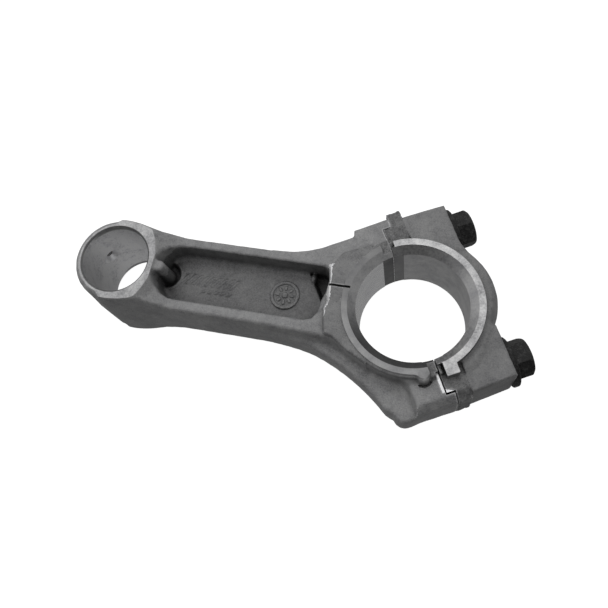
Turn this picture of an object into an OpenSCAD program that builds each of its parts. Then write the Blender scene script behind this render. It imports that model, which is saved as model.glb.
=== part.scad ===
// Connecting rod of a small single-cylinder engine.
// A die-cast rod runs straight on the crankpin and the wrist pin. Its big end is split
// at an angle, and two screws with washers hold the cap.
// Origin: centre of the crankpin bore. +X runs from the small end to the big end,
// and +Z runs along both bores.

/* [Bores] */
// Crankpin bore diameter
crankpin_bore_d = 31.8; // [31:0.1:32]
// Width of the chamfer round the crankpin bore
crankpin_chamfer = 2.2; // [1.5:0.1:2.4]
// Wrist pin bore diameter
pin_bore_d = 20.4; // [19:0.1:21]
// Width of the chamfer round the wrist pin bore
pin_chamfer = 0.5; // [0.3:0.1:0.8]
// Distance between the two bore centres
centre_distance = 88.9; // [88:0.1:90]
// Diameter of the oil hole through the small end
oil_hole_d = 3; // [2:0.5:4]
// Direction of the oil hole round the wrist pin, from +X
oil_hole_angle = 147; // [130:1:160]

/* [Castings] */
// Width across the big end's machined thrust faces
big_end_w = 24; // [23.6:0.1:24.4]
// Width across the small end's faces
small_end_w = 28; // [27:0.5:29]
// Outer diameter of the small end at its middle plane
small_end_d = 26.8; // [26:0.2:27.4]
// Depth of the beam's rails, front to back
beam_depth = 18.8; // [18:0.2:20]
// Width across the beam's rails
beam_w = 22.8; // [22:0.2:23]
// Width of the pocket between the rails
pocket_w = 16.4; // [15:0.2:17]
// Thickness of the web at the bottom of the pockets
web_t = 6; // [5:0.5:8]
// Thickness of the lower flange between the beam and the lower lug
flange_t = 10; // [8:0.5:11]
// Depth of the screw lugs, front to back
lug_depth = 18; // [17:0.5:19]
// Outer diameter of the cap's crown
crown_d = 49.8; // [49:0.2:50.4]

/* [Split and screws] */
// Angle between the rod and the screws
split_angle = 29; // [27:1:31]
// Distance from the bore centre to each screw's axis
screw_offset = 21.2; // [21:0.1:21.6]
// Screw thread diameter
screw_d = 6; // [5.8:0.1:6]
// Length of the screw under its head
screw_length = 32; // [30:1:33]
// Width across the flats of the screw head
head_flats = 10; // [9:0.5:11]
// Height of the screw head
head_h = 5.2; // [4:0.2:6]
// Washer diameter
washer_d = 14.6; // [13:0.2:15]
// Washer thickness
washer_t = 1.8; // [1.4:0.1:2]

/* [Hidden] */
$fn = 96;
eps = 0.01;
far = 60;

crankpin_r = crankpin_bore_d / 2;
pin_r = pin_bore_d / 2;
small_end_x = -centre_distance;
big_half = big_end_w / 2;
small_half = small_end_w / 2;
rail_half = beam_depth / 2;
beam_half_w = beam_w / 2;
lug_half = lug_depth / 2;
// Draft on each side of the small end's middle plane
small_end_draft = 0.8;
// Draft on each side of the crown's middle plane
crown_draft = 1.9;
crown_half = lug_half + 0.5;

// Collar round the rod's half of the big end, just below the thrust face
collar_half = big_half - 0.5;
collar_r = 21;
thrust_r_rod = 19.8;
thrust_r_cap = 20.1;
collar_left_x = -24.8;
collar_half_w = 12;

// Parting faces of the stepped joint, as distances along the screws
inner_part_u = 0;
joint_gap = 0.4;
outer_part_u = 2.8;
// The rod's outlines run past the joint to here before they are cut at it
past_joint_u = 5;
ear_inner_v = 26.1;
step_gap = 0.6;

// Reach of the lugs along the screws (u) and across them (v)
rod_lug_v = 28.3;
rod_lug_u = -8;
shoulder_u = -14.6;
shoulder_v = 28.8;
cap_flange_u = 6.6;
upper_flange_v = 29.6;
lower_flange_v = 28.3;
cap_flange_half = lug_half - 0.8;
cap_lug_u = 19.7;
// The washers sit in shallow spot faces on the lugs
seat_u = 19.6;
seat_clearance = 0.2;
cap_lug_v = 27.2;
cap_lug_inner_v = 13.2;
lug_inner_v = 15;

// Lower flare: an arc that leaves the beam parallel to it
lower_flare_r = 64;
lower_flare_x = -46.5;
// Upper flare: an arc that also meets the side of the upper boss, as deep as the lugs
upper_flare_r = 33;
upper_boss_v = 26.75;
upper_boss_half = lug_half - 0.2;
upper_flare_y = beam_half_w + upper_flare_r * (1 - cos(split_angle));
upper_flare_end_u = (upper_flare_y - upper_boss_v * cos(split_angle)) / sin(split_angle);

thread_clearance = 0.05;
screw_hole_clearance = 0.3;
thread_end_u = -12.5;
head_chamfer = 1;
// Height of the raised marks on the pocket floor
mark_h = 0.5;

// A point given by its distances along (u) and across (v) the screws
function uv(u, v) = [
    u * cos(split_angle) - v * sin(split_angle),
    u * sin(split_angle) + v * cos(split_angle)
];

// Solid of one outline, centred on the middle plane
module plate(half) {
    translate([0, 0, -half]) linear_extrude(2 * half) children();
}

// Turns its children so that X runs along the screws
module along_screws() {
    rotate([0, 0, split_angle]) children();
}

// Rectangle between two corners
module span2d(x0, x1, y0, y1) {
    translate([x0, y0]) square([x1 - x0, y1 - y0]);
}

// Disc that is fullest at its middle plane, with both rims chamfered
module barrel(r, half, draft, c) {
    rotate_extrude() polygon([
        [0, -half], [r - draft - c, -half], [r - draft, c - half], [r, 0],
        [r - draft, half - c], [r - draft - c, half], [0, half]
    ]);
}

// Cutting tool for a bore along Z with a chamfer at both mouths
module bore_cut(r, half, c) {
    rotate_extrude() polygon([
        [0, -half - 1], [r + c + 1, -half - 1], [r, c - half], [r, half - c],
        [r + c + 1, half + 1], [0, half + 1]
    ]);
}

// Cylinder along the screws, from u0 to u1, on the screw axis of one side
module screw_cylinder(side, r, u0, u1) {
    along_screws() translate([u0, side * screw_offset, 0])
        rotate([0, 90, 0]) cylinder(h = u1 - u0, r = r);
}

// Outline of the upper flare and boss, from the beam to the upper lug
module upper_flare_outline() {
    end = uv(upper_flare_end_u, upper_boss_v);
    start_x = end[0] - upper_flare_r * sin(split_angle);
    difference() {
        polygon([
            [start_x - 1, 0], [0, 0],
            uv(past_joint_u - 1, lug_inner_v + 1), uv(past_joint_u - 1, upper_boss_v),
            end, [start_x, beam_half_w], [start_x - 1, beam_half_w - 1]
        ]);
        translate([start_x, beam_half_w + upper_flare_r]) circle(upper_flare_r);
    }
}

// Outline of the thin lower flange, from the beam to the lower lug
module lower_flange_outline() {
    corner_r = 3;
    corner_v = corner_r - shoulder_v;
    inside_lug_v = rod_lug_v - 0.3;
    difference() {
        union() {
            polygon([
                [lower_flare_x, 0], [lower_flare_x, -beam_half_w],
                uv(shoulder_u, corner_v),
                uv(shoulder_u + corner_r, -shoulder_v),
                uv(rod_lug_u + 0.8, -inside_lug_v),
                uv(past_joint_u - 1, -inside_lug_v),
                uv(past_joint_u - 1, -lug_inner_v),
                [0, 0]
            ]);
            translate(uv(shoulder_u + corner_r, corner_v)) circle(corner_r);
        }
        translate([lower_flare_x, -beam_half_w - lower_flare_r]) circle(lower_flare_r);
    }
}

// Outline of the rails, widening a little towards the big end
module rails_outline() {
    rail_flare_x = -48;
    polygon([
        [small_end_x + 6, beam_half_w], [small_end_x + 6, -beam_half_w],
        [rail_flare_x, -beam_half_w], [collar_left_x + 2, -collar_half_w],
        [collar_left_x + 2, collar_half_w], [rail_flare_x, beam_half_w]
    ]);
}

// Collar: a disc with a tongue that reaches back to the pockets
module collar_outline() {
    union() {
        circle(collar_r);
        polygon([
            [0, -collar_half_w], [collar_left_x, -collar_half_w],
            [collar_left_x, 9], [collar_left_x + 3.6, 13], [0, 13]
        ]);
    }
}

// Block of one screw lug, past the joint
module rod_lug(side) {
    lug_v = side > 0 ? lug_inner_v : -rod_lug_v;
    along_screws() translate([rod_lug_u, lug_v, -lug_half])
        cube([past_joint_u - rod_lug_u, rod_lug_v - lug_inner_v, lug_depth]);
}

// Space beyond the rod's parting faces, where an ear is left outside the cap on each side
module beyond_joint() {
    along_screws() {
        translate([inner_part_u, -ear_inner_v, -far])
            cube([2 * far, 2 * ear_inner_v, 2 * far]);
        translate([outer_part_u, -far, -far]) cube(2 * far);
    }
}

// Ramps that run from the small end's faces down to the rails
module neck() {
    rotate([90, 0, 0]) translate([0, 0, -beam_half_w]) linear_extrude(2 * beam_half_w)
        polygon([
            [small_end_x + 4, -small_half], [small_end_x + 9, -small_half],
            [small_end_x + 19, -rail_half], [small_end_x + 19, rail_half],
            [small_end_x + 9, small_half], [small_end_x + 4, small_half]
        ]);
}

// Outline of one pocket: it follows the small end, and its other end is rounded
module pocket_outline() {
    upper_r = 3;
    lower_r = 5;
    half_w = pocket_w / 2;
    right_x = collar_left_x;
    difference() {
        union() {
            span2d(small_end_x, right_x - lower_r, -half_w, half_w);
            span2d(right_x - lower_r - eps, right_x - upper_r, lower_r - half_w, half_w);
            span2d(right_x - lower_r - eps, right_x, lower_r - half_w, half_w - upper_r);
            translate([right_x - upper_r, half_w - upper_r]) circle(upper_r);
            translate([right_x - lower_r, lower_r - half_w]) circle(lower_r);
        }
        translate([small_end_x, 0]) circle(small_end_d / 2 - small_end_draft);
    }
}

// Pocket between the rails on one face
module pocket(side) {
    z0 = side > 0 ? web_t / 2 : -far / 2;
    translate([0, 0, z0]) linear_extrude(far / 2 - web_t / 2) pocket_outline();
}

// Slot that lets oil cross the front thrust face to the crankpin
module oil_slot() {
    slot_w = 1;
    slot_depth = 1.2;
    translate([collar_left_x - 1, 2.3 - slot_w / 2, big_half - slot_depth])
        cube([-collar_left_x + 1 - crankpin_r, slot_w, slot_depth + 1]);
}

// Oil hole through the small end's wall, countersunk outside
module oil_hole() {
    translate([small_end_x, 0, 0]) rotate([0, 0, oil_hole_angle]) rotate([0, 90, 0]) {
        cylinder(h = far / 2, d = oil_hole_d);
        translate([0, 0, small_end_d / 2 - 0.8])
            cylinder(h = 1.5, d1 = oil_hole_d, d2 = oil_hole_d + 3);
    }
}

// Round casting mark raised on the pocket floor: a ring with rays round a centre pip
module casting_mark() {
    translate([-38, 0, web_t / 2 - eps]) {
        difference() {
            cylinder(h = mark_h, r = 4.3);
            translate([0, 0, -1]) cylinder(h = mark_h + 2, r = 3.6);
        }
        cylinder(h = mark_h, r = 0.8);
        for (a = [0 : 45 : 315])
            rotate([0, 0, a]) translate([1.7, -0.25, 0]) cube([1.2, 0.5, mark_h]);
    }
}

// Raised tally bars on the pocket floor, in a tall row and a short row
module tally_bars() {
    for (i = [0 : 6])
        translate([-71 + 2.7 * i, -0.9, web_t / 2 - eps]) cube([1.5, 3.2, mark_h]);
    for (i = [0 : 4])
        translate([-62.5 + 2.3 * i, -3, web_t / 2 - eps]) cube([1.5, 1, mark_h]);
}

// Round casting recess beside the small end, in the pocket floor
module recess() {
    translate([small_end_x + 13.1, 0.3, web_t / 2 - 1]) difference() {
        cylinder(h = 2, r = 4.6);
        translate([-13.1, -0.3, -1]) cylinder(h = 4, d = small_end_d - 2 * small_end_draft);
    }
}

// Round rib that stands in the pocket against the small end
module rib() {
    rib_x = small_end_x + 13.3;
    translate([rib_x, 1.5, web_t / 2 - 1.5]) cylinder(h = 9.5, r = 1.4);
}

module rod_body() {
    color([0.56, 0.57, 0.58]) difference() {
        union() {
            translate([small_end_x, 0, 0])
                barrel(small_end_d / 2, small_half, small_end_draft, 0.6);
            difference() {
                union() {
                    neck();
                    plate(rail_half) rails_outline();
                    plate(collar_half) collar_outline();
                    plate(upper_boss_half) upper_flare_outline();
                    plate(flange_t / 2) lower_flange_outline();
                    rod_lug(1);
                    rod_lug(-1);
                }
                pocket(1);
                pocket(-1);
                recess();
            }
            casting_mark();
            tally_bars();
            rib();
            difference() {
                plate(big_half) circle(thrust_r_rod);
                along_screws() translate([inner_part_u - 2.5, -far, -far]) cube(2 * far);
            }
        }
        beyond_joint();
        bore_cut(crankpin_r, big_half, crankpin_chamfer);
        translate([small_end_x, 0, 0]) bore_cut(pin_r, small_half, pin_chamfer);
        oil_slot();
        oil_hole();
        for (side = [-1, 1])
            screw_cylinder(side, screw_d / 2 + thread_clearance, thread_end_u, far / 2);
    }
}

module rod_cap() {
    cap_tongue_v = ear_inner_v - step_gap;
    color([0.6, 0.61, 0.62]) difference() {
        union() {
            barrel(crown_d / 2, crown_half, crown_draft, 0.4);
            plate(big_half) circle(thrust_r_cap);
            along_screws() for (side = [-1, 1]) {
                flange_v = side > 0 ? upper_flange_v : lower_flange_v;
                plate(lug_half) polygon([
                    [0, side * cap_lug_inner_v], [cap_lug_u, side * cap_lug_inner_v],
                    [cap_lug_u, side * (cap_lug_v - 0.8)], [cap_flange_u, side * cap_lug_v],
                    [0, side * cap_lug_v]
                ]);
                plate(cap_flange_half) polygon([
                    [0, side * cap_lug_inner_v], [cap_flange_u, side * cap_lug_inner_v],
                    [cap_flange_u, side * flange_v], [0, side * flange_v]
                ]);
            }
        }
        bore_cut(crankpin_r, big_half, crankpin_chamfer);
        along_screws() translate([inner_part_u + joint_gap - 2 * far, -far, -far])
            cube(2 * far);
        along_screws() for (side = [-1, 1]) mirror([0, side < 0 ? 1 : 0, 0])
            translate([outer_part_u - far, cap_tongue_v, -far / 2])
                cube([far, far, far]);
        along_screws() for (side = [-1, 1])
            translate([-far, side > 0 ? thrust_r_cap - 2 : -thrust_r_cap - 18, lug_half])
                cube([far + inner_part_u + 1.3, 20, far]);
        for (side = [-1, 1]) {
            screw_cylinder(side, screw_d / 2 + screw_hole_clearance, -1, far / 2);
            screw_cylinder(side, washer_d / 2 + seat_clearance, seat_u, far / 2);
        }
    }
}

// Hexagon head with its outer corners chamfered, and a plain shank for the thread
module screw(side) {
    head_u = seat_u + washer_t;
    corner_r = head_flats / 2 / cos(30);
    color([0.13, 0.13, 0.14]) union() {
        screw_cylinder(side, screw_d / 2, head_u - screw_length, head_u + 1);
        along_screws() translate([head_u, side * screw_offset, 0]) rotate([0, 90, 0])
            intersection() {
                cylinder(h = head_h, r = corner_r, $fn = 6);
                rotate_extrude() polygon([
                    [0, 0], [corner_r, 0], [corner_r, head_h - head_chamfer],
                    [corner_r - 1.6 * head_chamfer, head_h], [0, head_h]
                ]);
            }
    }
}

module washer(side) {
    color([0.1, 0.1, 0.11]) difference() {
        screw_cylinder(side, washer_d / 2, seat_u, seat_u + washer_t);
        screw_cylinder(side, screw_d / 2 + screw_hole_clearance, seat_u - 1, far / 2);
    }
}

module upper_screw() { screw(1); }
module lower_screw() { screw(-1); }
module upper_washer() { washer(1); }
module lower_washer() { washer(-1); }

rod_body();
rod_cap();
upper_screw();
lower_screw();
upper_washer();
lower_washer();
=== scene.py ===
"""Connecting rod: detailed castings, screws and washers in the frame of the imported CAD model.

Shapes are worked out in millimetres and written to meshes in metres. X runs from the small end
to the big end and Z along the bores; u and v run along and across the two cap screws.
"""

import math

import bmesh
import bpy
import numpy as np
import openvdb
from mathutils import Matrix, Vector


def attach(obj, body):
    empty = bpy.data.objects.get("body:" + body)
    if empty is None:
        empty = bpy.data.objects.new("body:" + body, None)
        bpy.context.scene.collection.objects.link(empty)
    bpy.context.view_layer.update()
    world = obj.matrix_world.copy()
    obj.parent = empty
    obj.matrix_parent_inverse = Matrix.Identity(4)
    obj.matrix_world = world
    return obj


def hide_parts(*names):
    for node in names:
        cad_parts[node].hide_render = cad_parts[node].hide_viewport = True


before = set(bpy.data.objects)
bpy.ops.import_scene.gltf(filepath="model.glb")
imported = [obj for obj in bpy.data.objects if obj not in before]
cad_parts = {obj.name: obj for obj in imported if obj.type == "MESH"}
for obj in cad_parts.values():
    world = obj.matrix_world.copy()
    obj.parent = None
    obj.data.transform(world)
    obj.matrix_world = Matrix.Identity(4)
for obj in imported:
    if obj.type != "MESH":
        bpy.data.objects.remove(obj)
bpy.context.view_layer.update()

MM = 0.001

# Sizes of the CAD model: bores, thicknesses, joint, screws and washers
BIG_X = 0
SMALL_X = -88.9
CRANKPIN_R = 15.9
CRANKPIN_CHAMFER = 2.2
PIN_R = 10.2
PIN_CHAMFER = 0.5
BIG_HALF = 12.0
SMALL_HALF = 14.0
RAIL_HALF = 9.4
WEB_HALF = 3.0
LUG_HALF = 9.0
SPLIT = math.radians(29)
COS, SIN = math.cos(SPLIT), math.sin(SPLIT)
JOINT_GAP = 0.4
OUTER_PART_U = 2.8
EAR_INNER_V = 26.1
CAP_TONGUE_V = 25.5
SCREW_OFFSET = 21.2
SCREW_R = 3.0
SCREW_LENGTH = 32.0
HEAD_FLATS = 10.0
HEAD_H = 5.2
SEAT_U = 19.6
WASHER_R = 7.3
WASHER_T = 1.8

# Outlines of the castings
SMALL_R = 13.25
BEAM_Y, BEAM_HALF_W = -0.1, 11.9
BEAM_END_X = -20
FLANGE_HALF = 5
LUG_U = -8
UPPER_LUG_V, LOWER_LUG_V = 28.8, 28.5
ROD_END_U = 6
ROD_THRUST_R, ROD_THRUST_END_U = 19.8, -2.3
CROWN_HALF = 9.5
CAP_LUG_V, CAP_LUG_END_U = 27.85, 19.7
CAP_START_U = 6.9
CAP_THRUST_R = 20.1
SLAB_TOP, SLAB_END_U = 9.05, 8
UPPER_SLAB_V, LOWER_SLAB_V = 29.9, 28.6

# Finer details of the castings
UPPER_FACE_U = 0.25         # the upper joint is closed up almost to the cap
UPPER_EAR_V = 25.65
UPPER_FLARE_R = 33.0
UPPER_BOSS_V = 26.75
COLLAR_R = 20.9
CROWN_R = 24.95
RELIEF_U = 3.1              # half width of the relief in the crankpin bore at the joint
RELIEF_DEPTH = 0.15
LEDGE_Z = 8.72              # height of the bright ledges of the lower joint
CRACK = 0.35                # gap between the outer steps of the lower joint
NOSE_U, NOSE_V = -4.1, -20.0  # round lower end of the rod's thrust ring
PIT_X, PIT_Y = -75.8, 0.9   # round recess beside the rib
RIB_X, RIB_Y = -75.3, 0.1
OIL_R = 1.1
OIL_RIM_END = 11.5
OIL_TURN = math.radians(147)
EMBLEM_X = -38.0
EMBLEM_RAYS = 8
# Rows of slanted bars: first bar's x, pitch, number of bars, lowest and highest y
MARK_ROWS = ((-70.5, 2.0, 9, -0.9, 2.3), (-61.0, 2.0, 5, -3, -2))

# Meshing and cutting
VOXEL = 0.32
KEEP = 0.3                  # share of the triangles that the thinning keeps
BORE_SIDES = 192
FAR = 60                    # a cutter's reach past the part, along or across the screws
FAR_Z = 30
BIG_FACE_R = 24
SMALL_FACE_R = 16
THREAD_CLEARANCE = 0.05
HOLE_CLEARANCE = 0.3
THREAD_PITCH = 1.0
THREAD_DEPTH = 0.5
THREAD_END_U = 6.0
HEAD_TURNS = {1: 10, -1: 24}


# ---------------------------------------------------------------- distance fields
#
# A field is negative inside the solid, and its bare numbers are millimetres. The last argument
# of round_and and round_or is a radius. az is the distance from the middle plane, and a few
# hundredths of it added to a field is the draft of a cast wall.

def round_and(a, b, r):
    """Overlap of two fields, with a rounded edge of radius r."""
    return np.minimum(np.maximum(a, b), -r) + np.hypot(np.maximum(a + r, 0), np.maximum(b + r, 0))


def round_or(a, b, r):
    """Union of two fields, with a fillet of radius r."""
    return np.maximum(np.minimum(a, b), r) - np.hypot(np.maximum(r - a, 0), np.maximum(r - b, 0))


def ramp(t):
    """Smooth step from 0 to 1."""
    t = np.clip(t, 0, 1)
    return t * t * (3 - 2 * t)


def along(x, y):
    """Distances along and across the screws."""
    return x * COS + y * SIN, y * COS - x * SIN


def place(u, v):
    """The x and y of a point given along and across the screws."""
    return (u * COS - v * SIN, u * SIN + v * COS)


def polygon(x, y, points):
    """Signed distance to a closed outline, negative inside."""
    best, inside = None, False
    for (ax, ay), (bx, by) in zip(points, points[1:] + points[:1]):
        ex, ey = bx - ax, by - ay
        wx, wy = x - ax, y - ay
        t = np.clip((wx * ex + wy * ey) / (ex * ex + ey * ey), 0, 1)
        square = (wx - ex * t) ** 2 + (wy - ey * t) ** 2
        best = square if best is None else np.minimum(best, square)
        if ey:
            inside = inside ^ (((ay > y) != (by > y)) & (wx < ex * wy / ey))
    return np.sqrt(best) * np.where(inside, -1, 1)


def block(x, y, x0, x1, y0, y1):
    """Distance to a rectangle, exact near its sides."""
    return np.maximum(np.abs(x - (x0 + x1) / 2) - (x1 - x0) / 2,
                      np.abs(y - (y0 + y1) / 2) - (y1 - y0) / 2)


def skin(x, y, z):
    """Slow unevenness of the cast surface."""
    return (0.030 * np.sin(0.9 * x + 0.4 * z) * np.sin(1.1 * y - 0.3 * x + 0.8)
            + 0.022 * np.sin(1.9 * x - 1.1 * y + 1.3 * z + 2.0) * np.sin(1.7 * z + 0.7 * y)
            + 0.014 * np.sin(3.1 * y + 2.3 * x) * np.sin(2.9 * x - 1.7 * z + 1.0))


def lower_flare(x, y):
    """Thin flange between the beam and the lower lug."""
    hull = polygon(x, y, [
        (-60, 0), (-60, -11.4), (-46.5, -11.4), place(-14.6, -25.8), place(-11.6, -28.8),
        place(-7.2, -28.1), place(4, -28.1), place(4, 0)])
    cx, cy = place(-11.6, -25.8)
    hull = np.minimum(hull, np.hypot(x - cx, y - cy) - 3)
    return np.maximum(hull, 64 - np.hypot(x + 46.5, y + 75.4))


def upper_flare(x, y):
    """Deep flare and boss between the beam and the upper lug."""
    end_x, end_y = place(-16.2, UPPER_BOSS_V)
    start_x = end_x - UPPER_FLARE_R * SIN
    side_y = end_y - UPPER_FLARE_R * (1 - COS)
    hull = polygon(x, y, [
        (start_x - 1, 0), (0, 0), place(4, 18), place(4, UPPER_BOSS_V), (end_x, end_y),
        (start_x, side_y), (start_x - 1, side_y - 1)])
    return np.maximum(hull, UPPER_FLARE_R - np.hypot(x - start_x, y - side_y - UPPER_FLARE_R))


def collar_outline(x, y):
    """Collar round the crankpin bore, with a ragged tongue back to the pocket."""
    tongue = polygon(x, y, [
        (0, 0), (-9.8, -18.9), (-15.9, -16.0), (-20.8, -12.6), (-23.2, -12.0), (-24.2, -7.5),
        (-24.6, -4.6), (-23.6, -2.3), (-23.8, 3.6), (-24.4, 8.0), (-21.7, 12.8), (-14, 16.5)])
    return np.minimum(np.hypot(x, y) - COLLAR_R, tongue)


def pocket_outline(x, y):
    """Outline of the pockets at the rails' height."""
    walls = polygon(x, y, [
        (-76.4, 0), (-76.2, -3.4), (-75.4, -5.4), (-73.6, -7.3), (-71.2, -8.3), (-66, -8.3),
        (-29.8, -8.3), (-27.6, -7.5), (-26.2, -5.6), (-25.7, -1.4), (-24.9, 0.6), (-24.5, 4.0),
        (-25.2, 7.2), (-26.6, 8.6), (-30, 8.7), (-68, 8.7), (-71.6, 8.2), (-74.1, 6.8),
        (-75.5, 4.9), (-76.2, 2.4)])
    boss = 12.6 - np.hypot(x - SMALL_X, y)
    return np.maximum(walls, boss)


def floor_marks(x, y, floor):
    """Low cast marks on a pocket's floor: a rayed ring and two rows of slanted bars."""
    mark_r = np.hypot(x - EMBLEM_X, y)
    half_step = math.pi / EMBLEM_RAYS
    turn = np.arctan2(y, x - EMBLEM_X)
    turn = (turn + half_step) % (2 * half_step) - half_step
    ray = block(mark_r * np.cos(turn), mark_r * np.sin(turn), 1.6, 2.8, -0.3, 0.3)
    mark = np.minimum(np.abs(mark_r - 3.95) - 0.4, np.minimum(ray, mark_r - 0.8))
    slant = x - 0.8 * y
    for first, pitch, count, low, high in MARK_ROWS:
        near = np.clip(np.round((slant - first) / pitch), 0, count - 1) * pitch + first
        mark = np.minimum(mark, block(slant - near, y, -0.5, 0.5, low, high))
    height = np.where(x > EMBLEM_X - 7, 0.5, 0.3)
    return round_and(mark, floor - height, 0.2)


def pocket_details(body, x, y, z, outline):
    """Recesses, casting marks and the rib on the front pocket's floor."""
    front = np.where(z > 0, 0.0, 9.0)   # added to a detail's field to keep it off the back
    floor = z - WEB_HALF
    inside = outline + 0.4

    # Round recess beside the rib, and a three-sided one at the far end with a pip in it
    pit_r = np.hypot(x - PIT_X, y - PIT_Y)
    recess = round_and(pit_r - 4.0 - 0.2 * floor, -1.8 - floor, 0.5)
    corner = polygon(x, y, [(-33.0, 11.5), (-31.6, 7.6), (-27.4, 0.8), (-26.4, -0.8),
                            (-23.0, -0.8), (-23.0, 11.5)])
    corner = round_and(corner - 0.25 * floor, -3.2 - floor, 0.4)
    recess = round_and(np.minimum(recess, corner), inside, 0.6)
    body = round_and(body, -(recess + front), 0.35)
    pip = np.hypot(np.hypot(x + 30.4, 0.6 * (y - 6.6)), 0.7 * (floor + 0.4)) - 1.0

    flash = np.hypot(pit_r - 4.6, floor + 0.1) - 0.5
    marks = np.minimum(floor_marks(x, y, floor), np.minimum(flash, pip))
    body = round_or(body, np.maximum(marks, inside) + front, 0.35)

    rib_x = x - RIB_X - np.clip(x - RIB_X, -3, 0)
    rib = round_and(np.hypot(rib_x, y - RIB_Y) - 2.2 + 0.05 * floor, z - 13.3, 0.9)
    return round_or(body, np.maximum(rib, -floor - 4) + front, 0.9)


def rod_field(x, y, z):
    """Distance to the rod's casting, before its bores, faces and joint are cut."""
    az = np.abs(z)
    u, v = along(x, y)
    r = np.hypot(x, y)
    pin_r = np.hypot(x - SMALL_X, y)

    # Small end, drawn in a little towards the front
    small_r = SMALL_R - 0.7 * np.clip(z / SMALL_HALF, 0, 1)
    small_end = round_and(pin_r - small_r, az - SMALL_HALF - 0.1, 1.8)

    # Beam: rails that rise to the small end and widen a little towards the big end
    half_w = BEAM_HALF_W + 0.5 * ramp((x + 48) / 24) - 0.2 * (az / RAIL_HALF) ** 2
    top = RAIL_HALF + 4.4 * ramp((-68.5 - x) / 13)
    beam = round_and(np.abs(y - BEAM_Y) - half_w, 0.92 * (az - top), 1.2)
    beam = np.maximum(beam, np.maximum(x - BEAM_END_X, SMALL_X - x))

    lower = round_and(lower_flare(x, y) - 0.6 + 0.04 * az, az - FLANGE_HALF, 1.2)
    upper_top = 9.3 - 0.55 * ramp((x + 42) / 16)
    upper = round_and(upper_flare(x, y) - 0.45 + 0.02 * az, az - upper_top, 1.3)
    body = round_or(round_or(beam, upper, 0.5), lower, 3.0)

    # Lugs on both sides of the big end
    upper_lug = block(u, v, LUG_U, ROD_END_U, 14, UPPER_LUG_V) + 0.03 * az
    slope = 0.35 * (az - LUG_HALF) - u - 8.3
    side = np.maximum(az - 7.0, 0) - v - LOWER_LUG_V
    lower_lug = np.maximum(np.maximum(slope, side), np.maximum(u - ROD_END_U, v + 14))
    lug = round_and(np.minimum(upper_lug, lower_lug), az - LUG_HALF, 0.55)
    body = round_or(body, lug, 1.2)

    # The collar is lower beside the joint, and its edge fades into the upper boss
    collar_top = BIG_HALF - 0.5 - 0.9 * ramp((u + 2.7) / 0.7)
    collar = round_and(collar_outline(x, y) + 0.05 * (az - 5), az - collar_top, 0.5)
    body = round_or(body, collar, 1.6 + 2.6 * ramp((v - 6) / 8))

    body = round_or(body, small_end, 3.5)
    body = body + skin(x, y, z)

    outline = pocket_outline(x, y)
    pocket = round_and(outline - 0.09 * (az - RAIL_HALF), WEB_HALF - az, 1.5)
    body = round_and(body, -pocket, 0.7)
    body = pocket_details(body, x, y, z, outline)

    # The thrust ring stands proud of the collar and ends before the joint in a round nose
    thrust = round_and(r - ROD_THRUST_R, az - BIG_HALF - 0.3, 0.2)
    nose_r = np.hypot(u - NOSE_U, v - NOSE_V)
    nose = round_and(nose_r - 1.7, az - BIG_HALF, 1.1)
    thrust = round_or(thrust, nose, 1.2)
    body = round_or(body, round_and(thrust, u - ROD_THRUST_END_U, 0.3), 0.4)

    # Groove between the nose and the lower lug
    groove = np.maximum(np.abs(nose_r - 2.1) - 0.3, v + 21.2)
    groove = round_and(groove, 8.1 - az, 0.2)
    return round_and(body, -groove, 0.25)


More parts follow.
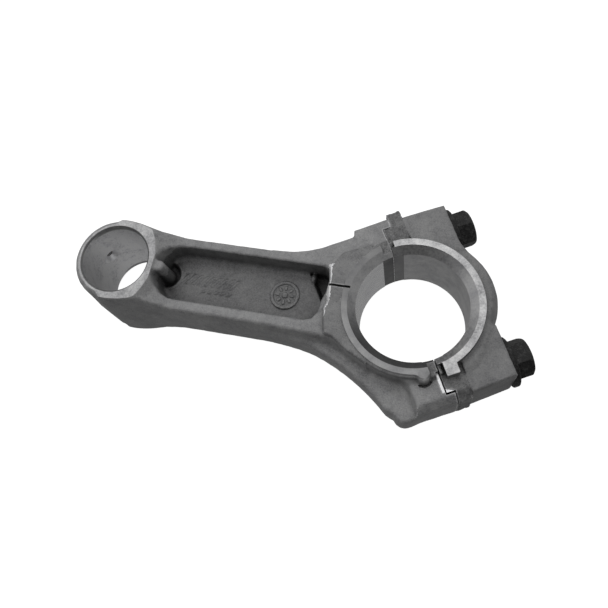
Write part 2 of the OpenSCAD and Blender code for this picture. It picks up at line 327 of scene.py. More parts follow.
def cap_field(x, y, z):
    """Distance to the cap's casting, before its bore, faces and joint are cut."""
    az = np.abs(z)
    u, v = along(x, y)
    av = np.abs(v)
    r = np.hypot(x, y)
    angle = np.arctan2(y, x)

    # Crown: rounded towards both faces, with a flat and a swelling along its outline
    crown_r = CROWN_R - 1.9 * np.clip((az - 1.5) / 7.5, 0, 1) ** 1.4
    crown_r = crown_r - 1.7 * np.exp(-((angle + 0.05) / 0.3) ** 2)
    crown_r = crown_r + 0.3 * np.exp(-((angle - 0.65) / 0.2) ** 2)
    crown = round_and(r - crown_r, az - CROWN_HALF, 1.1)

    # Lugs under the screw heads, a little lower than the crown
    side = CAP_LUG_V - 0.05 * np.maximum(u - 6.6, 0) - 0.02 * az
    lug = np.maximum(np.maximum(av - side, u - CAP_LUG_END_U), 12 - av)
    lug = round_and(lug, az - LUG_HALF, 0.8)
    body = round_and(round_or(crown, lug, 1.6), CAP_START_U - u, 0.4)

    # Rough slabs beside the joint, a little lower than the lugs
    rough = (0.10 * np.sin(2.1 * u + 1.3 * v) * np.sin(1.7 * v - 2.3 * z)
             + 0.08 * np.sin(4.1 * u - 1.9 * v + 1.0) * np.sin(3.7 * v + 1.3 * u))
    slab_v = np.where(v > 0, UPPER_SLAB_V, LOWER_SLAB_V - np.maximum(az - 6.4, 0))
    slab = np.maximum(np.maximum(av - slab_v, u - SLAB_END_U), -5 - u)
    slab = np.where(u > 6.8, np.maximum(slab, av - 26.8), slab)
    slab = round_and(slab, 0.9 * (az - SLAB_TOP), 0.4) + rough
    body = round_or(body, slab, 0.35)
    body = body + skin(x + 40, y, z)

    # A small nick in the crown's edge
    nick = np.hypot(r - 24.4, 24 * (angle - 0.33))
    body = round_and(body, 1.1 - np.hypot(nick, 0.6 * (z - 9.3)), 0.3)

    # Thrust face, with a square foot at its lower end
    foot = np.maximum(np.abs(u - 3.6) - 1.9, np.abs(v + 18.5) - 3.6)
    thrust = np.minimum(r - CAP_THRUST_R, foot) + 0.04 * (az - 9)
    thrust = round_and(thrust, az - BIG_HALF - 0.3, 0.1)
    ends = np.where(v > 0, 1.4, 1.8) - u
    thrust = np.maximum(thrust, np.where(av > 18.1, ends, -9.0))
    root = block(u, av, -2, 1.2, 16, 20.6)
    thrust = np.minimum(thrust, round_and(root, az - BIG_HALF + 1.5, 0.3) + rough)
    return round_or(body, thrust, 0.5)


# ---------------------------------------------------------------- solids and cuts

def apply_modifiers(obj):
    """Bakes an object's modifiers into its mesh."""
    depsgraph = bpy.context.evaluated_depsgraph_get()
    mesh = bpy.data.meshes.new_from_object(obj.evaluated_get(depsgraph))
    obj.modifiers.clear()
    old = obj.data
    obj.data = mesh
    bpy.data.meshes.remove(old)
    mesh.name = obj.name
    return obj


def mesh_from_field(name, field, low, high):
    """Mesh of a field's zero surface, moved onto the exact surface and thinned out."""
    axes = [np.arange(a, b + VOXEL, VOXEL, dtype=np.float32) for a, b in zip(low, high)]
    x, y, z = np.meshgrid(*axes, indexing="ij", sparse=True)
    shape = tuple(len(a) for a in axes)
    values = np.broadcast_to(field(x, y, z), shape).astype(np.float32)
    grid = openvdb.FloatGrid(1.0)
    grid.copyFromArray(np.ascontiguousarray(np.clip(values, -1, 1)))
    points, quads = grid.convertToQuads(0.0)
    points = np.array(points, dtype=np.float64) * VOXEL + np.array(low)
    step, passes, furthest = 0.02, 3, 0.15
    for _ in range(passes):
        px, py, pz = points.T
        distance = field(px, py, pz)
        slope = np.stack([
            field(px + step, py, pz) - field(px - step, py, pz),
            field(px, py + step, pz) - field(px, py - step, pz),
            field(px, py, pz + step) - field(px, py, pz - step)], axis=1) / (2 * step)
        size = np.maximum((slope ** 2).sum(axis=1), 0.3)
        move = np.clip(distance / size, -furthest, furthest)
        points -= slope * move[:, None]
    mesh = bpy.data.meshes.new(name)
    mesh.from_pydata((points * MM).tolist(), [], quads.tolist())
    mesh.validate()
    obj = bpy.data.objects.new(name, mesh)
    bpy.context.collection.objects.link(obj)
    thin = obj.modifiers.new("thin", "DECIMATE")
    thin.ratio = KEEP
    return apply_modifiers(obj)


def new_object(name, verts, faces):
    """Object of a closed mesh given in millimetres, with its faces turned outwards."""
    mesh = bpy.data.meshes.new(name)
    mesh.from_pydata([tuple(c * MM for c in p) for p in verts], [], faces)
    obj = bpy.data.objects.new(name, mesh)
    bpy.context.collection.objects.link(obj)
    work = bmesh.new()
    work.from_mesh(mesh)
    bmesh.ops.recalc_face_normals(work, faces=work.faces)
    work.to_mesh(mesh)
    work.free()
    return obj


def lathe(name, profile, sides=128, closed=False, matrix=None):
    """Solid of revolution about Z from (radius, height) points in millimetres."""
    verts, rings, faces = [], [], []
    for r, h in profile:
        first = len(verts)
        if r == 0:
            verts.append(Vector((0, 0, h)))
        else:
            verts += [Vector((r * math.cos(2 * math.pi * i / sides),
                              r * math.sin(2 * math.pi * i / sides), h)) for i in range(sides)]
        rings.append(list(range(first, len(verts))))
    for a, b in zip(rings, rings[1:] + (rings[:1] if closed else [])):
        for i in range(sides):
            j = (i + 1) % sides
            face = [a[i % len(a)], a[j % len(a)], b[j % len(b)], b[i % len(b)]]
            faces.append(list(dict.fromkeys(face)))
    if matrix is not None:
        verts = [matrix @ p for p in verts]
    return new_object(name, verts, faces)


def box(name, low, high, matrix=None):
    """Rectangular block between two corners in millimetres."""
    verts = [Vector((x, y, z)) for x in (low[0], high[0]) for y in (low[1], high[1])
             for z in (low[2], high[2])]
    if matrix is not None:
        verts = [matrix @ p for p in verts]
    faces = [(0, 1, 3, 2), (4, 6, 7, 5), (0, 4, 5, 1), (2, 3, 7, 6), (0, 2, 6, 4), (1, 5, 7, 3)]
    return new_object(name, verts, faces)


def combine(obj, operation, tools):
    """Boolean of an object with each of the tools, which are then deleted."""
    for tool in tools:
        step = obj.modifiers.new("combine", "BOOLEAN")
        step.operation, step.solver, step.object = operation, "MANIFOLD", tool
    apply_modifiers(obj)
    for tool in tools:
        bpy.data.objects.remove(tool)
    return obj


ALONG = Matrix.Rotation(SPLIT, 4, "Z")


def joint_block(u0, u1, v0, v1, low=-FAR_Z, high=FAR_Z):
    """Block given along and across the screws, between two heights."""
    return box("joint_block", (u0, v0, low), (u1, v1, high), ALONG)


def screw_frame(side, u=0.0):
    """Frame whose Z runs along one screw's axis, starting at u."""
    return ALONG @ Matrix.Translation((u, side * SCREW_OFFSET, 0)) @ Matrix.Rotation(
        math.radians(90), 4, "Y")


def bore_tool(x, r, half, chamfer):
    """Cutter for a bore along Z with a chamfer at both mouths."""
    past = 2
    end, end_r = half + past, r + chamfer + past
    return lathe("bore_tool", [
        (0, -end), (end_r, -end), (r, chamfer - half), (r, half - chamfer), (end_r, end),
        (0, end)], sides=BORE_SIDES, matrix=Matrix.Translation((x, 0, 0)))


def facing_tools(x, r, half):
    """Cutters that face both ends of a boss flat."""
    far = half + 3
    return [lathe("facing_tool", [(0, s * half), (r, s * half), (r, s * far), (0, s * far)],
                  matrix=Matrix.Translation((x, 0, 0))) for s in (1, -1)]


def hole_tool(side, r, u0, u1):
    """Cutter along one screw's axis, from u0 to u1."""
    return lathe("hole_tool", [(0, 0), (r, 0), (r, u1 - u0), (0, u1 - u0)], sides=64,
                 matrix=screw_frame(side, u0))


def relief_tool(u0, u1):
    """Cutter for the shallow relief in the crankpin bore beside the joint."""
    u0, u1 = max(u0, -RELIEF_U), min(u1, RELIEF_U)
    relief_r = CRANKPIN_R + RELIEF_DEPTH
    tool = lathe("relief_tool", [(0, -20), (relief_r, -20), (relief_r, 20), (0, 20)],
                 sides=BORE_SIDES)
    return combine(tool, "INTERSECT", [joint_block(u0, u1, -30, 30)])


def finish_faces(obj, base, finishes=(), angle=38):
    """Gives each face the material of the first rule that fits its centre and normal, or the
    base material."""
    mesh = obj.data
    count = len(mesh.polygons)
    centres = np.empty(count * 3, dtype=np.float32)
    normals = np.empty(count * 3, dtype=np.float32)
    mesh.polygons.foreach_get("center", centres)
    mesh.polygons.foreach_get("normal", normals)
    centres = centres.reshape(-1, 3) / MM
    normals = normals.reshape(-1, 3)
    index = np.zeros(count, dtype=np.int32)
    mesh.materials.clear()
    mesh.materials.append(base)
    for rule, material in finishes:
        if material.name not in mesh.materials:
            mesh.materials.append(material)
        index[(index == 0) & rule(centres, normals)] = mesh.materials.find(material.name)
    mesh.polygons.foreach_set("material_index", index)
    mesh.shade_smooth()
    mesh.set_sharp_from_angle(angle=math.radians(angle))


# ---------------------------------------------------------------- materials

def add_node(tree, kind, inputs=None, **settings):
    """Shader node with its settings, and its inputs set or linked by name or number."""
    made = tree.nodes.new(kind)
    for key, value in settings.items():
        setattr(made, key, value)
    for key, value in (inputs or {}).items():
        if isinstance(value, bpy.types.NodeSocket):
            tree.links.new(value, made.inputs[key])
        else:
            made.inputs[key].default_value = value
    return made


def new_material(name, **shader_inputs):
    """Material with a Principled shader, and its node tree and shader."""
    material = bpy.data.materials.new(name)
    material.use_nodes = True
    tree = material.node_tree
    shader = tree.nodes["Principled BSDF"]
    for key, value in shader_inputs.items():
        shader.inputs[key.replace("_", " ")].default_value = value
    return material, tree, shader


def maths(tree, operation, a, b=None, c=None):
    """Output of a Math node."""
    inputs = {0: a}
    if b is not None:
        inputs[1] = b
    if c is not None:
        inputs[2] = c
    return add_node(tree, "ShaderNodeMath", inputs, operation=operation).outputs[0]


def noise(tree, vector, size, detail=3.0, roughness=0.55):
    """Noise whose features are about size millimetres across."""
    return add_node(tree, "ShaderNodeTexNoise", {
        "Vector": vector, "Scale": 1 / (size * MM), "Detail": detail,
        "Roughness": roughness}).outputs["Fac"]


def spread(tree, value, low, high, to_low=0.0, to_high=1.0):
    """Value mapped smoothly from one range to another, and held inside it."""
    return add_node(tree, "ShaderNodeMapRange", {
        0: value, 1: low, 2: high, 3: to_low, 4: to_high},
        interpolation_type="SMOOTHSTEP").outputs[0]


def grey_scale(tree, value, stops):
    """Colour ramp over (position, (r, g, b)) stops."""
    ramp_node = add_node(tree, "ShaderNodeValToRGB", {0: value})
    elements = ramp_node.color_ramp.elements
    while len(elements) < len(stops):
        elements.new(0.5)
    for element, (position, colour) in zip(elements, stops):
        element.position = position
        element.color = (*colour, 1)
    return ramp_node.outputs[0]


def dimmed(tree, colour, factor):
    """A colour multiplied by one number."""
    grey = add_node(tree, "ShaderNodeCombineColor", {0: factor, 1: factor, 2: factor}).outputs[0]
    mix = add_node(tree, "ShaderNodeMix", {0: 1.0, 6: colour, 7: grey}, data_type="RGBA",
                   blend_type="MULTIPLY")
    return mix.outputs[2]


def greys(low, middle, high):
    """Colour stops for a ramp from three grey values, a touch cool in the dark ones."""
    return [(0.32, (low, low, low * 1.04)), (0.5, (middle, middle, middle * 1.01)),
            (0.7, (high, high, high * 0.99))]


def object_point(tree):
    """The shaded point in the object's own coordinates, in metres."""
    return add_node(tree, "ShaderNodeTexCoord").outputs["Object"]


def blended(tree, a, b, share):
    """Sum of two noises, with a's share and b taking the rest."""
    return maths(tree, "MULTIPLY_ADD", a, share, maths(tree, "MULTIPLY", b, 1 - share))


def link_finish(tree, shader, colour, roughness, height, strength, depth):
    """Links colour, roughness and a bump of the given depth in millimetres to the shader."""
    bump = add_node(tree, "ShaderNodeBump", {
        "Strength": strength, "Distance": depth * MM, "Height": height})
    tree.links.new(colour, shader.inputs["Base Color"])
    tree.links.new(roughness, shader.inputs["Roughness"])
    tree.links.new(bump.outputs[0], shader.inputs["Normal"])


def shaded(tree, colour):
    """The colour with painted shade, darker in corners and hollows, and painted highlights,
    lighter on rounded edges.
    """
    # Painted shade: darker where ambient occlusion finds the casting hemmed in
    corner = spread(tree, add_node(tree, "ShaderNodeAmbientOcclusion", {
        "Distance": 9 * MM}, samples=8).outputs["AO"], 0.2, 0.85, 0.18, 1.0)
    # Painted highlight: lighter where the rounded normal turns away from the face's own
    rounded = add_node(tree, "ShaderNodeBevel", {"Radius": 0.8 * MM}, samples=6).outputs[0]
    normal = add_node(tree, "ShaderNodeNewGeometry").outputs["Normal"]
    same = add_node(tree, "ShaderNodeVectorMath", {0: rounded, 1: normal},
                    operation="DOT_PRODUCT").outputs["Value"]
    edge = spread(tree, same, 0.84, 0.99, 2.2, 1.0)
    return dimmed(tree, colour, maths(tree, "MULTIPLY", edge, corner))


def cast_aluminium(name, stops, depth):
    """Grey die-cast skin: mottled and softly pitted, with painted shade in corners and painted
    highlights on edges.
    """
    material, tree, shader = new_material(name, Metallic=0.35)
    point = object_point(tree)
    patches = noise(tree, point, 7.0, 3.0)
    mottle = noise(tree, point, 1.4, 5.0, 0.6)
    grain = noise(tree, point, 0.35, 4.0, 0.6)
    tone = maths(tree, "MULTIPLY_ADD", patches, 0.28, maths(
        tree, "MULTIPLY_ADD", mottle, 0.37, maths(tree, "MULTIPLY", grain, 0.35)))
    link_finish(tree, shader, shaded(tree, grey_scale(tree, tone, stops)),
                spread(tree, mottle, 0.3, 0.7, 0.48, 0.66), blended(tree, mottle, grain, 0.6),
                strength=0.5, depth=depth)
    return material


def machined_aluminium(name, centre_x, stops, rough, metallic=1.0, painted_side_shading=1.0, lean=0.0,
                       painted_mouth_shadow=1.0):
    """Turned aluminium: fine rings round the bore's axis, with faint streaks and stains.

    Painted light and shade: its side towards -Y, or leaning towards -X, is multiplied by the side
    shading factor, darker below 1 and lighter above 1, and its opposite side close to the end
    faces by the mouth shadow factor, a painted shadow.
    """
    material, tree, shader = new_material(name, Metallic=metallic)
    point = object_point(tree)
    centred = add_node(tree, "ShaderNodeVectorMath", {
        0: point, 1: (-centre_x * MM, 0, 0)}, operation="ADD").outputs[0]
    x, y, z = add_node(tree, "ShaderNodeSeparateXYZ", {0: centred}).outputs
    flat = add_node(tree, "ShaderNodeCombineXYZ", {0: x, 1: y})
    radius = add_node(tree, "ShaderNodeVectorMath", {0: flat.outputs[0]},
                      operation="LENGTH").outputs["Value"]
    travel = maths(tree, "ADD", radius, z)
    rings = add_node(tree, "ShaderNodeTexNoise", {
        "W": maths(tree, "MULTIPLY", travel, 1 / (0.5 * MM)), "Scale": 1.0, "Detail": 1.0},
        noise_dimensions="1D").outputs["Fac"]
    stains = noise(tree, point, 4.0, 4.0, 0.6)
    specks = noise(tree, point, 0.6, 3.0, 0.6)
    colour = grey_scale(tree, blended(tree, stains, specks, 0.55), stops)
    # Painted light and shade: one side of the surface multiplied by the side factor
    across = maths(tree, "MULTIPLY_ADD", x, lean, y)
    shade = spread(tree, across, -14 * MM, 4 * MM, painted_side_shading, 1.0)
    # Painted shadow just inside the mouth, on the +Y side
    if painted_mouth_shadow != 1.0:
        near_end = spread(tree, maths(tree, "ABSOLUTE", z), (SMALL_HALF - 2.4) * MM,
                          (SMALL_HALF - 0.8) * MM)
        far_side = maths(tree, "MULTIPLY", near_end, spread(tree, y, 3 * MM, 8 * MM))
        shade = maths(tree, "MULTIPLY", shade, spread(tree, far_side, 0.0, 1.0, 1.0, painted_mouth_shadow))
    link_finish(tree, shader, dimmed(tree, colour, shade),
                spread(tree, specks, 0.3, 0.7, rough, rough + 0.16),
                blended(tree, rings, specks, 0.6), strength=0.15, depth=0.06)
    return material


def black_steel():
    """Black oxide over steel, with an oily mottle."""
    material, tree, shader = new_material("black_steel", Metallic=0.4)
    point = object_point(tree)
    mottle = noise(tree, point, 1.1, 5.0, 0.65)
    grain = noise(tree, point, 0.3, 3.0, 0.6)
    detail = blended(tree, mottle, grain, 0.6)
    link_finish(tree, shader, grey_scale(tree, detail, greys(0.003, 0.016, 0.11)),
                spread(tree, mottle, 0.3, 0.7, 0.42, 0.66), detail, strength=0.8, depth=0.3)
    return material


# ---------------------------------------------------------------- castings

def oil_hole_tool():
    """Cutter for the oil hole of the small end, countersunk at both ends."""
    turned = (Matrix.Translation((SMALL_X, 0, 0)) @ Matrix.Rotation(OIL_TURN, 4, "Z")
              @ Matrix.Rotation(math.radians(90), 4, "Y"))
    return lathe("oil_hole_tool", [
        (0, 5), (OIL_R + 6.5, 5), (OIL_R, OIL_RIM_END), (OIL_R, 12.6), (3, 14.6), (3, 16),
        (0, 16)], sides=48, matrix=turned)


def build_rod():
    """The rod's casting with its bores, faces, joint, oil slot and holes."""
    tools = [bore_tool(BIG_X, CRANKPIN_R, BIG_HALF, CRANKPIN_CHAMFER),
             bore_tool(SMALL_X, PIN_R, SMALL_HALF, PIN_CHAMFER),
             *facing_tools(BIG_X, BIG_FACE_R, BIG_HALF),
             *facing_tools(SMALL_X, SMALL_FACE_R, SMALL_HALF),
             joint_block(0, FAR, -EAR_INNER_V, 1),
             joint_block(UPPER_FACE_U, FAR, 0, UPPER_EAR_V),
             joint_block(OUTER_PART_U, FAR, -FAR, FAR),
             box("oil_slot_tool", (-26.5, 2.1, BIG_HALF - 1.4), (-17.9, 2.8, 16)),
             relief_tool(-20, 0.1),
             # The bright ledge and the crack of the lower joint
             joint_block(-0.75, 1, -25.3, -19.6, LEDGE_Z, 20),
             joint_block(OUTER_PART_U - CRACK, FAR, -FAR, -20),
             oil_hole_tool()]
    tools += [hole_tool(side, SCREW_R + THREAD_CLEARANCE, -12.5, 30) for side in (-1, 1)]
    rod = mesh_from_field("rod_casting", rod_field, (-103.5, -34, -15.5), (17.5, 27.5, 15.5))
    return combine(rod, "DIFFERENCE", tools)


def build_cap():
    """The cap's casting with its bore, faces, joint, holes and screw seats."""
    # Turned bar for the bright ledge of the lower joint
    turned = (ALONG @ Matrix.Translation((-0.2, -24.1, 0))
              @ Matrix.Rotation(math.radians(-25), 4, "Z"))
    tools = [bore_tool(BIG_X, CRANKPIN_R, BIG_HALF, CRANKPIN_CHAMFER),
             *facing_tools(BIG_X, BIG_FACE_R, BIG_HALF),
             joint_block(-FAR, JOINT_GAP, -FAR, FAR),
             relief_tool(JOINT_GAP - 0.1, 20),
             box("ledge_tool", (-0.5, -1.3, LEDGE_Z), (3.2, 0, 12), turned)]
    for side, tongue_v in ((-1, CAP_TONGUE_V), (1, UPPER_EAR_V - 0.06)):
        near, far = sorted((side * tongue_v, side * FAR))
        tools += [joint_block(-FAR, OUTER_PART_U, near, far),
                  hole_tool(side, SCREW_R + HOLE_CLEARANCE, -2, 30),
                  hole_tool(side, WASHER_R + 0.2, SEAT_U, 40)]
    cap = mesh_from_field("cap_casting", cap_field, (-20, -34, -13.5), (32, 36, 13.5))
    return combine(cap, "DIFFERENCE", tools)


# Rules for finish_faces: each tells from the faces' centres, in millimetres, and normals which
# of them it fits.

TOUCH = 0.01                # how near a face's centre is to the plane that it lies on
BIG_END_X = -30             # the big end's faces are beyond this


def on_wall(bore_x, r):
    """Rule for the faces of a bore's wall."""
    def rule(centres, normals):
        return np.hypot(centres[:, 0] - bore_x, centres[:, 1]) < r + 0.02
    return rule


def on_lip(bore_x, r, half, chamfer):
    """Rule for the faces of a bore's chamfers."""
    def rule(centres, normals):
        radius = np.hypot(centres[:, 0] - bore_x, centres[:, 1])
        height = np.abs(centres[:, 2])
        lip = np.abs(radius - r - (height - half + chamfer)) < 0.03
        return lip & (height > half - chamfer - TOUCH) & (height < half + TOUCH)
    return rule


def on_relief(centres, normals):
    """Rule for the relief beside the joint in the crankpin bore."""
    radius = np.hypot(centres[:, 0], centres[:, 1])
    off = np.abs(radius - CRANKPIN_R - RELIEF_DEPTH + 0.02)
    return (off < 0.1) & (np.abs(normals[:, 2]) < 0.2)


def on_thrust_face(centres, normals):
    """Rule for the flat faced ends of the big end."""
    return (np.abs(np.abs(centres[:, 2]) - BIG_HALF) < TOUCH) & (centres[:, 0] > BIG_END_X)


def on_pin_face(centres, normals):
    """Rule for the flat faced ends of the small end."""
    return np.abs(np.abs(centres[:, 2]) - SMALL_HALF) < TOUCH


def on_joint(centres, normals):
    """Rule for the milled faces of the joint and the screw seats."""
    u, _ = along(centres[:, 0], centres[:, 1])
    lies_along = np.abs(normals[:, 0] * COS + normals[:, 1] * SIN) > 0.99
    levels = (0, UPPER_FACE_U, JOINT_GAP, OUTER_PART_U - CRACK, OUTER_PART_U, SEAT_U)
    milled = np.min([np.abs(u - level) for level in levels], axis=0) < TOUCH
    return (centres[:, 0] > BIG_END_X) & lies_along & milled


def on_bright_edge(centres, normals):
    """Rule for the ledges of the lower joint."""
    u, v = along(centres[:, 0], centres[:, 1])
    ledge = (np.abs(centres[:, 2] - LEDGE_Z) < TOUCH) & (v < -19) & (v > -26.3)
    return ledge & (np.abs(u - 1) < 2.5)


def on_oil_rim(centres, normals):
    """Rule for the countersunk rim of the oil hole."""
    px, py = centres[:, 0] - SMALL_X, centres[:, 1]
    off_axis = np.hypot(py * math.cos(OIL_TURN) - px * math.sin(OIL_TURN), centres[:, 2])
    depth = np.hypot(px, py)
    within = (depth > PIN_R + 0.02) & (depth < OIL_RIM_END)
    return (off_axis < OIL_R + 1.6) & within & (px < 0)


def on_tongue_edge(centres, normals):
    """Rule for the edge of the collar's tongue above the pocket, which gets a painted highlight.
    """
    x, y, z = centres.T
    return ((np.abs(x + 24.4) < 1.2) & (np.abs(y - 1) < 8) & (np.abs(z - 11.2) < 0.6)
            & (normals[:, 0] < -0.25) & (normals[:, 2] > 0.25))


def on_rough_root(centres, normals):
    """Rule for the rough ends of the collar beside the joint."""
    u, _ = along(centres[:, 0], centres[:, 1])
    r = np.hypot(centres[:, 0], centres[:, 1])
    return (u > -2.4) & (u < 0.2) & (r > 16.5) & (r < 21.4) & (np.abs(centres[:, 2]) > 9.2)


def on_pocket(centres, normals):
    """Rule for the insides of the pockets."""
    inside = pocket_outline(centres[:, 0], centres[:, 1]) < 0.4
    return inside & (np.abs(centres[:, 2]) < RAIL_HALF - 0.5)


def on_collar(centres, normals):
    """Rule for the top of the collar round the crankpin bore."""
    beside = collar_outline(centres[:, 0], centres[:, 1]) < 0.2
    return beside & (np.abs(centres[:, 2]) > BIG_HALF - 2)


def on_slab(centres, normals):
    """Rule for the rough slabs of the cap beside the joint."""
    u, _ = along(centres[:, 0], centres[:, 1])
    outside = np.hypot(centres[:, 0], centres[:, 1]) > 20.3
    return outside & (u < 6.8) & (np.abs(centres[:, 2]) < BIG_HALF - 2.2)


# ---------------------------------------------------------------- screws and washers

def threaded_shank(side, u0, u1, sides=36, steps=8):
    """Round bar with a helical thread on the part that the rod holds."""
    lead_in, run_out, end_taper, groove_half = 1.2, 2.0, 0.7, 0.42
    count = int(round((u1 - u0) / THREAD_PITCH * steps))
    verts, faces = [], []
    for i in range(count + 1):
        u = u0 + (u1 - u0) * i / count
        full = min(1.0, (u - u0) / lead_in)
        deep = min(1.0, max(0.0, (THREAD_END_U - u) / run_out))
        for k in range(sides):
            phase = (u / THREAD_PITCH - k / sides) % 1.0
            groove = max(0.0, 1 - abs(phase - 0.5) / groove_half) * THREAD_DEPTH * deep
            r = (SCREW_R - groove) - end_taper * (1 - full)
            angle = 2 * math.pi * k / sides
            verts.append(Vector((r * math.cos(angle), r * math.sin(angle), u)))
    for i in range(count):
        for k in range(sides):
            a, b = i * sides + k, i * sides + (k + 1) % sides
            faces.append((a, b, b + sides, a + sides))
    last = count * sides
    faces.append(tuple(range(sides - 1, -1, -1)))
    faces.append(tuple(last + k for k in range(sides)))
    frame_at = screw_frame(side)
    return new_object("shank", [frame_at @ p for p in verts], faces)


def clean(obj):
    """Merges points that coincide and drops faces with no area."""
    work = bmesh.new()
    work.from_mesh(obj.data)
    bmesh.ops.remove_doubles(work, verts=work.verts, dist=0.003 * MM)
    bmesh.ops.dissolve_degenerate(work, edges=work.edges, dist=0.001 * MM)
    work.to_mesh(obj.data)
    work.free()
    obj.data.validate()
    return obj


def build_screw(name, side):
    """Hexagon screw: chamfered head with a dished top and rounded edges, and a thread."""
    head_u = SEAT_U + WASHER_T
    corner_r = HEAD_FLATS / 2 / math.cos(math.radians(30))
    frame_at = screw_frame(side, head_u)
    turn = Matrix.Rotation(math.radians(HEAD_TURNS[side]), 4, "Z")
    head = lathe(name, [(0, 0), (corner_r, 0), (corner_r, HEAD_H), (0, HEAD_H)], sides=6,
                 matrix=frame_at @ turn)
    rounding = lathe("rounding", [
        (0, -1), (corner_r - 0.35, -1), (corner_r - 0.35, 0), (corner_r + 0.05, 0.35),
        (corner_r + 0.05, HEAD_H - 1.3), (corner_r - 0.35, HEAD_H - 0.75),
        (corner_r - 1.0, HEAD_H - 0.2), (corner_r - 1.6, HEAD_H), (3.6, HEAD_H),
        (3.3, HEAD_H - 0.12), (2.9, HEAD_H - 0.35), (0, HEAD_H - 0.45)],
        sides=96, matrix=frame_at)
    combine(head, "INTERSECT", [rounding])
    bevel = head.modifiers.new("edges", "BEVEL")
    bevel.width, bevel.segments, bevel.limit_method = 0.16 * MM, 3, "ANGLE"
    bevel.angle_limit = math.radians(28)
    apply_modifiers(head)
    shank = threaded_shank(side, head_u - SCREW_LENGTH, head_u + 1.0)
    return clean(combine(head, "UNION", [shank]))


def build_washer(name, side):
    """Flat washer with rounded rims."""
    inner, outer, top, edge = SCREW_R + HOLE_CLEARANCE, WASHER_R, WASHER_T, 0.25
    return lathe(name, [
        (inner, edge), (inner + edge, 0), (outer - edge, 0), (outer - 0.07, 0.07),
        (outer, edge), (outer, top - 2 * edge), (outer - 0.12, top - 0.22),
        (outer - 0.45, top), (inner + edge, top), (inner, top - edge)],
        closed=True, matrix=screw_frame(side, SEAT_U))


# ---------------------------------------------------------------- finishes and pieces

cast = cast_aluminium("cast_aluminium", greys(0.17, 0.33, 0.50), depth=0.44)
cap_cast = cast_aluminium("cap_cast_aluminium", greys(0.13, 0.26, 0.40), depth=0.44)
collar_cast = cast_aluminium("collar_cast_aluminium", greys(0.11, 0.25, 0.40), depth=0.40)
# The pockets get darker greys: painted shade inside them
pocket_painted_shade_cast = cast_aluminium("pocket_cast_aluminium", greys(0.08, 0.20, 0.33), depth=0.40)
rough_cast = cast_aluminium("rough_cast_aluminium", greys(0.06, 0.21, 0.42), depth=0.80)
bore = machined_aluminium("bored_aluminium", BIG_X, greys(0.70, 0.86, 0.96), rough=0.20)
cap_bore = machined_aluminium("bored_cap_aluminium", BIG_X, greys(0.34, 0.50, 0.66), rough=0.28)
# Dark relief greys, also given to the small end's bore chamfers as painted shade
relief = machined_aluminium("relief_aluminium", BIG_X, greys(0.14, 0.20, 0.27), rough=0.42,
                            metallic=0.7)
cap_relief = machined_aluminium("relief_cap_aluminium", BIG_X, greys(0.22, 0.29, 0.37),
                                rough=0.40, metallic=0.8)
# Pin bore: painted light and shade across the wall, darker towards -Y and -X, and a painted shadow
# near both mouths on the +Y side
pin_bore = machined_aluminium("pin_bore_aluminium", SMALL_X, greys(0.55, 0.94, 1.0), rough=0.30,
                              metallic=0.75, painted_side_shading=0.52, lean=0.7, painted_mouth_shadow=0.30)
# Faced ends and joint faces: painted light, lighter towards -Y
rod_face = machined_aluminium("faced_aluminium", BIG_X, greys(0.17, 0.25, 0.34), rough=0.48,
                              metallic=0.5, painted_side_shading=1.5)
# Crankpin chamfers: painted shade, much darker towards -Y
rod_lip = machined_aluminium("chamfered_aluminium", BIG_X, greys(0.27, 0.42, 0.56), rough=0.50,
                             metallic=0.3, painted_side_shading=0.18)
pin_face = machined_aluminium("faced_pin_aluminium", SMALL_X, greys(0.26, 0.54, 0.84),
                              rough=0.46, metallic=0.4)
cap_face = machined_aluminium("faced_cap_aluminium", BIG_X, greys(0.21, 0.55, 0.90), rough=0.38,
                              metallic=0.75)
# Near-white: the machined ledges of the lower joint, partly real polish and partly a painted
# highlight, and a painted highlight on the cast edge of the collar's tongue
bright = machined_aluminium("bright_aluminium", BIG_X, greys(0.90, 0.94, 0.97), rough=0.30,
                            metallic=0.6)
# Near-white rim of the oil hole: a machined countersink with a painted highlight
oil_rim = machined_aluminium("bright_rim_aluminium", SMALL_X, greys(0.94, 0.97, 1.0), rough=0.3,
                             metallic=0.7)
steel = black_steel()

on_crankpin_wall = on_wall(BIG_X, CRANKPIN_R)
on_crankpin_lip = on_lip(BIG_X, CRANKPIN_R, BIG_HALF, CRANKPIN_CHAMFER)
on_pin_wall = on_wall(SMALL_X, PIN_R)
on_pin_lip = on_lip(SMALL_X, PIN_R, SMALL_HALF, PIN_CHAMFER)

rod = build_rod()
rod_finishes = [
    # The collar tongue's edge gets the near-white finish as a painted highlight
    (on_bright_edge, bright), (on_oil_rim, oil_rim), (on_tongue_edge, bright),
    (on_relief, relief), (on_crankpin_wall, bore), (on_crankpin_lip, rod_lip),
    # The pin bore's chamfers take the dark relief finish as painted shade
    (on_pin_wall, pin_bore), (on_pin_lip, relief), (on_thrust_face, rod_face),
    (on_pin_face, pin_face), (on_joint, rod_face), (on_rough_root, rough_cast),
    (on_pocket, pocket_painted_shade_cast), (on_collar, collar_cast)]
finish_faces(rod, cast, rod_finishes)
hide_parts("rod_body")
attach(rod, "rod")

cap = build_cap()
cap_finishes = [
    (on_bright_edge, bright), (on_relief, cap_relief), (on_crankpin_wall, cap_bore),
    (on_crankpin_lip, cap_bore), (on_thrust_face, cap_face), (on_joint, rod_face),
    (on_slab, rough_cast)]
finish_faces(cap, cap_cast, cap_finishes)
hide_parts("rod_cap")
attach(cap, "cap")

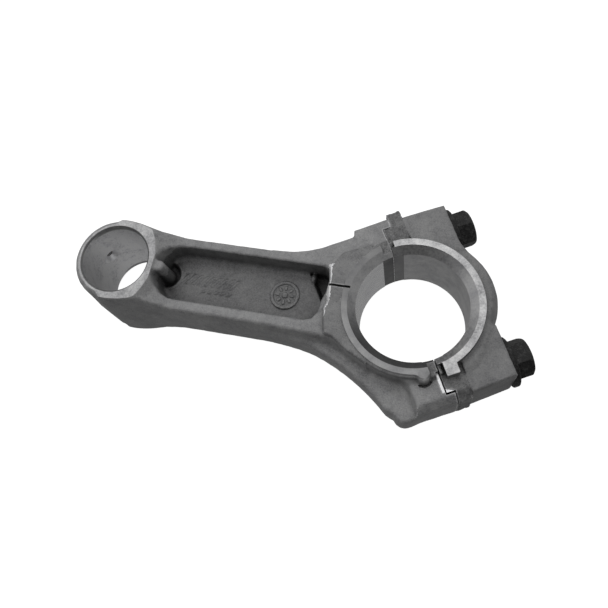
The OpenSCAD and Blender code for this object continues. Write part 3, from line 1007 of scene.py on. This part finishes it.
for side_name, side in (("upper", 1), ("lower", -1)):
    screw = build_screw(side_name + "_hex_screw", side)
    finish_faces(screw, steel, angle=30)
    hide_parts(side_name + "_screw")
    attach(screw, side_name + "_screw")
    washer = build_washer(side_name + "_flat_washer", side)
    finish_faces(washer, steel, angle=30)
    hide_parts(side_name + "_washer")
    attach(washer, "cap")


# ---------------------------------------------------------------- stage, light and camera

def glowing(name, base, glow):
    """Evenly lit material for the floor and the backdrop."""
    material, tree, shader = new_material(name, Roughness=1.0)
    shader.inputs["Base Color"].default_value = (base, base, base, 1)
    shader.inputs["Specular IOR Level"].default_value = 0
    shader.inputs["Emission Color"].default_value = (glow, glow, glow, 1)
    shader.inputs["Emission Strength"].default_value = 1
    return material


def build_stage():
    """Pale floor just under the part, and a pale sphere round the scene."""
    floor_z = -(SMALL_HALF + 0.1) * MM
    bpy.ops.mesh.primitive_plane_add(size=3.0, location=(-0.04, 0, floor_z))
    floor = bpy.context.object
    floor.name = "floor"
    floor.data.materials.append(glowing("pale_floor", 0.25, 0.97))
    bpy.ops.mesh.primitive_uv_sphere_add(radius=2.0, segments=48, ring_count=24)
    backdrop = bpy.context.object
    backdrop.name = "backdrop"
    backdrop.data.materials.append(glowing("pale_backdrop", 1.0, 1.0))
    for item in (floor, backdrop):
        item.visible_diffuse = False
        item.visible_glossy = False
        item.visible_transmission = False
        item.visible_shadow = False


def area_light(name, place_mm, aim_mm, size_mm, watts):
    """Round lamp at one point, turned towards another."""
    data = bpy.data.lights.new(name, "AREA")
    data.shape = "DISK"
    data.size = size_mm * MM
    data.energy = watts
    light = bpy.data.objects.new(name, data)
    light.location = Vector(place_mm) * MM
    aim = Vector(aim_mm) * MM - light.location
    light.rotation_euler = aim.to_track_quat("-Z", "Y").to_euler()
    bpy.context.collection.objects.link(light)


# Studio light: the overhead light's direction, and the brightness from straight away from it
# to straight towards it
OVERHEAD = (-0.12, 0.30, 0.94)
SKY = [(0.0, 0.02), (0.45, 0.035), (0.55, 0.07), (0.66, 0.17), (0.80, 0.38), (0.90, 0.52),
       (1.0, 0.65)]
TABLE = 0.25


def build_light():
    """World light of a soft overhead light, a table and a horizon band, with a weak key lamp."""
    world = bpy.data.worlds.new("studio")
    world.use_nodes = True
    bpy.context.scene.world = world
    tree = world.node_tree
    direction = add_node(tree, "ShaderNodeTexCoord").outputs["Generated"]
    toward = add_node(tree, "ShaderNodeVectorMath", {
        0: direction, 1: OVERHEAD}, operation="DOT_PRODUCT").outputs["Value"]
    x, y, z = add_node(tree, "ShaderNodeSeparateXYZ", {0: direction}).outputs
    # The overhead light is a long one, so it reaches further down at both ends of the part
    toward = maths(tree, "MULTIPLY_ADD", maths(tree, "MULTIPLY", x, x), 0.35, toward)
    sky = grey_scale(tree, maths(tree, "MULTIPLY_ADD", toward, 0.5, 0.5),
                     [(at, (level, level, level)) for at, level in SKY])
    # White table below, and a bright band along the horizon behind the part
    below = spread(tree, z, -0.35, -0.05, 1.0, 0.0)
    table = add_node(tree, "ShaderNodeMix", {0: below, 2: sky, 3: TABLE}, data_type="FLOAT")
    band = maths(tree, "MULTIPLY",
                 spread(tree, maths(tree, "ABSOLUTE", z), 0.05, 0.5, 0.45, 0.0),
                 spread(tree, maths(tree, "MULTIPLY_ADD", x, -0.5, y), -0.35, 0.35))
    tree.links.new(maths(tree, "ADD", table.outputs[0], band), tree.nodes["Background"].inputs[0])
    area_light("key", (-120, 160, 460), (-40, 0, 0), 300, 0.3)


# The photograph's viewpoint, fitted to the bores and the joint: its place in millimetres, and
# the turn, as axis times angle, that gives the directions to the right, down and forward
CAMERA_AT = (8.70, -63.43, 195.55)
CAMERA_TURN = (2.7966, 0.2559, -0.2443)
FOCAL_PX = 696.04
IMAGE_PX = 608
SENSOR_MM = 36


def build_camera():
    """Camera at the photograph's viewpoint."""
    data = bpy.data.cameras.new("camera")
    data.sensor_width = SENSOR_MM
    data.lens = SENSOR_MM * (FOCAL_PX / IMAGE_PX)
    data.clip_start = 1 * MM
    data.clip_end = 10
    camera = bpy.data.objects.new("camera", data)
    turn = Vector(CAMERA_TURN)
    right, down, forward = Matrix.Rotation(turn.length, 3, turn.normalized())
    axes = Matrix((right, -down, -forward)).transposed()
    camera.matrix_world = Matrix.Translation(Vector(CAMERA_AT) * MM) @ axes.to_4x4()
    bpy.context.collection.objects.link(camera)
    bpy.context.scene.camera = camera


build_stage()
build_light()
build_camera()
bpy.context.scene.view_settings.view_transform = "Standard"
